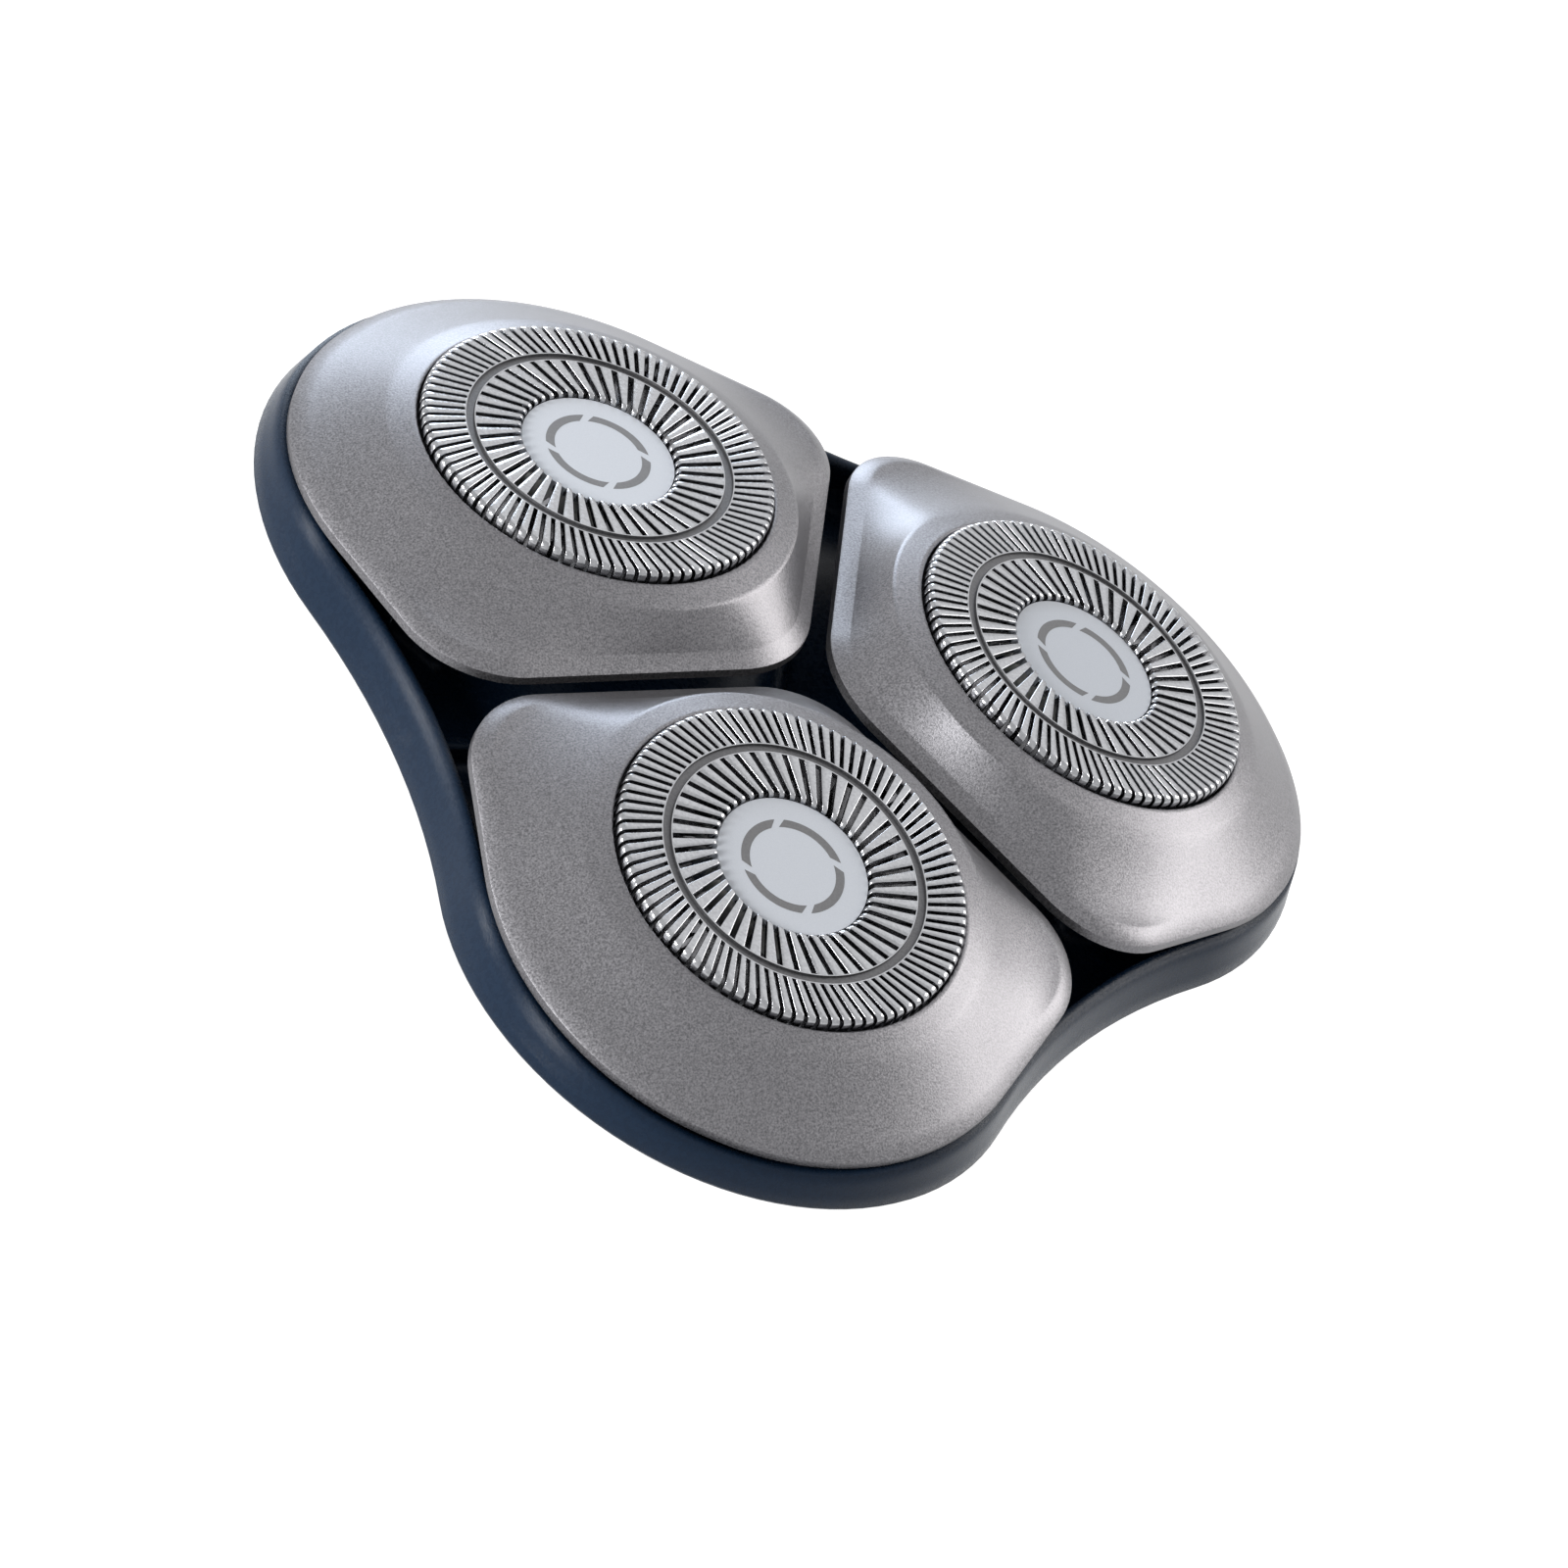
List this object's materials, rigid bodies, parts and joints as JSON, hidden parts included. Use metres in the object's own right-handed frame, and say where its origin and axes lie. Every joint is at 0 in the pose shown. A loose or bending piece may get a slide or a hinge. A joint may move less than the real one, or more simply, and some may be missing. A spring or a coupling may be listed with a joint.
{
  "type": "rotary shaver head",
  "caption": "Rotary shaver head: three tilting silver pods with slotted steel guards on a dark three-lobed base with a round coupling collar.",
  "frame": {"origin": "on the drive axis, in the end face of the coupling collar on which the head stands", "axes": "+Z out of the shaving faces along the drive axis, +X towards the first head"},
  "size_m": [0.0563, 0.06, 0.0202],
  "materials": {
    "navy_gloss": "gloss",
    "navy_matt": "fine matt",
    "silver_satin": "satin metallic lacquer",
    "black_plastic": "matt",
    "white_plastic": "natural matt",
    "gear_plastic": "natural matt",
    "guard_steel": "ground and polished",
    "badge_satin": "fine satin",
    "blade_steel": "ground",
    "spring_steel": "drawn wire",
    "screw_steel": "plated"
  },
  "bodies": {
    "base": {"base_tray": "navy_gloss", "gear_cover": "navy_matt", "cover_screws": "screw_steel"},
    "drive": {"drive_gear": "gear_plastic"},
    "pod_1": {"pod_shell_1": "silver_satin", "retaining_ring_1": "black_plastic"},
    "guard_unit_1": {"guard_1": "guard_steel", "badge_disc_1": "badge_satin"},
    "cutter_1": {"cutter_blades_1": "blade_steel", "cutter_carrier_1": "white_plastic"},
    "gear_1": {"spindle_gear_1": "gear_plastic", "spindle_spring_1": "spring_steel"},
    "spindle_unit_1": {"spindle_1": "white_plastic"},
    "pod_2": {"pod_shell_2": "silver_satin", "retaining_ring_2": "black_plastic"},
    "guard_unit_2": {"guard_2": "guard_steel", "badge_disc_2": "badge_satin"},
    "cutter_2": {"cutter_blades_2": "blade_steel", "cutter_carrier_2": "white_plastic"},
    "gear_2": {"spindle_gear_2": "gear_plastic", "spindle_spring_2": "spring_steel"},
    "spindle_unit_2": {"spindle_2": "white_plastic"},
    "pod_3": {"pod_shell_3": "silver_satin", "retaining_ring_3": "black_plastic"},
    "guard_unit_3": {"guard_3": "guard_steel", "badge_disc_3": "badge_satin"},
    "cutter_3": {"cutter_blades_3": "blade_steel", "cutter_carrier_3": "white_plastic"},
    "gear_3": {"spindle_gear_3": "gear_plastic", "spindle_spring_3": "spring_steel"},
    "spindle_unit_3": {"spindle_3": "white_plastic"}
  },
  "joints": [
    {"name": "drive_spin", "type": "hinge", "parent": "base", "child": "drive", "pos_m": [0, 0, 0.008], "axis": [0, 0, 1], "continuous": true},
    {"name": "pod_tilt_1", "type": "hinge", "parent": "base", "child": "pod_1", "pos_m": [0.01539, 0, 0.01265], "axis": [0, 1, 0], "range_deg": [-8, 0], "stiffness_Nm_per_rad": 0.1},
    {"name": "guard_float_1", "type": "slide", "parent": "pod_1", "child": "guard_unit_1", "axis": [0.1271, 0, 0.9919], "range_m": [-0.0008, 0], "stiffness_N_per_m": 600, "springref_m": 0.0005},
    {"name": "cutter_spin_1", "type": "hinge", "parent": "guard_unit_1", "child": "cutter_1", "pos_m": [0.0162, 0, 0.019], "axis": [0.1271, 0, 0.9919], "continuous": true},
    {"name": "gear_spin_1", "type": "hinge", "parent": "base", "child": "gear_1", "pos_m": [0.0156, 0, 0.008], "axis": [0, 0, 1], "continuous": true},
    {"name": "spindle_slide_1", "type": "slide", "parent": "gear_1", "child": "spindle_unit_1", "axis": [0, 0, 1], "range_m": [-0.0008, 0], "stiffness_N_per_m": 300, "springref_m": 0.0005, "deforming": ["spindle_spring_1"]},
    {"name": "pod_tilt_2", "type": "hinge", "parent": "base", "child": "pod_2", "pos_m": [-0.00769, 0.01333, 0.01265], "axis": [-0.866, -0.5, 0], "range_deg": [-8, 0], "stiffness_Nm_per_rad": 0.1},
    {"name": "guard_float_2", "type": "slide", "parent": "pod_2", "child": "guard_unit_2", "axis": [-0.0635, 0.11, 0.9919], "range_m": [-0.0008, 0], "stiffness_N_per_m": 600, "springref_m": 0.0005},
    {"name": "cutter_spin_2", "type": "hinge", "parent": "guard_unit_2", "child": "cutter_2", "pos_m": [-0.0081, 0.01403, 0.019], "axis": [-0.0635, 0.11, 0.9919], "continuous": true},
    {"name": "gear_spin_2", "type": "hinge", "parent": "base", "child": "gear_2", "pos_m": [-0.0078, 0.01351, 0.008], "axis": [0, 0, 1], "continuous": true},
    {"name": "spindle_slide_2", "type": "slide", "parent": "gear_2", "child": "spindle_unit_2", "axis": [0, 0, 1], "range_m": [-0.0008, 0], "stiffness_N_per_m": 300, "springref_m": 0.0005, "deforming": ["spindle_spring_2"]},
    {"name": "pod_tilt_3", "type": "hinge", "parent": "base", "child": "pod_3", "pos_m": [-0.00769, -0.01333, 0.01265], "axis": [0.866, -0.5, 0], "range_deg": [-8, 0], "stiffness_Nm_per_rad": 0.1},
    {"name": "guard_float_3", "type": "slide", "parent": "pod_3", "child": "guard_unit_3", "axis": [-0.0635, -0.11, 0.9919], "range_m": [-0.0008, 0], "stiffness_N_per_m": 600, "springref_m": 0.0005},
    {"name": "cutter_spin_3", "type": "hinge", "parent": "guard_unit_3", "child": "cutter_3", "pos_m": [-0.0081, -0.01403, 0.019], "axis": [-0.0635, -0.11, 0.9919], "continuous": true},
    {"name": "gear_spin_3", "type": "hinge", "parent": "base", "child": "gear_3", "pos_m": [-0.0078, -0.01351, 0.008], "axis": [0, 0, 1], "continuous": true},
    {"name": "spindle_slide_3", "type": "slide", "parent": "gear_3", "child": "spindle_unit_3", "axis": [0, 0, 1], "range_m": [-0.0008, 0], "stiffness_N_per_m": 300, "springref_m": 0.0005, "deforming": ["spindle_spring_3"]}
  ],
  "couplings": [
    {"joint": "gear_spin_1", "follows": "drive_spin", "ratio": -0.85714},
    {"joint": "cutter_spin_1", "follows": "drive_spin", "ratio": -0.85714},
    {"joint": "spindle_slide_1", "follows": "guard_float_1", "ratio": 1},
    {"joint": "gear_spin_2", "follows": "drive_spin", "ratio": -0.85714},
    {"joint": "cutter_spin_2", "follows": "drive_spin", "ratio": -0.85714},
    {"joint": "spindle_slide_2", "follows": "guard_float_2", "ratio": 1},
    {"joint": "gear_spin_3", "follows": "drive_spin", "ratio": -0.85714},
    {"joint": "cutter_spin_3", "follows": "drive_spin", "ratio": -0.85714},
    {"joint": "spindle_slide_3", "follows": "guard_float_3", "ratio": 1}
  ]
}
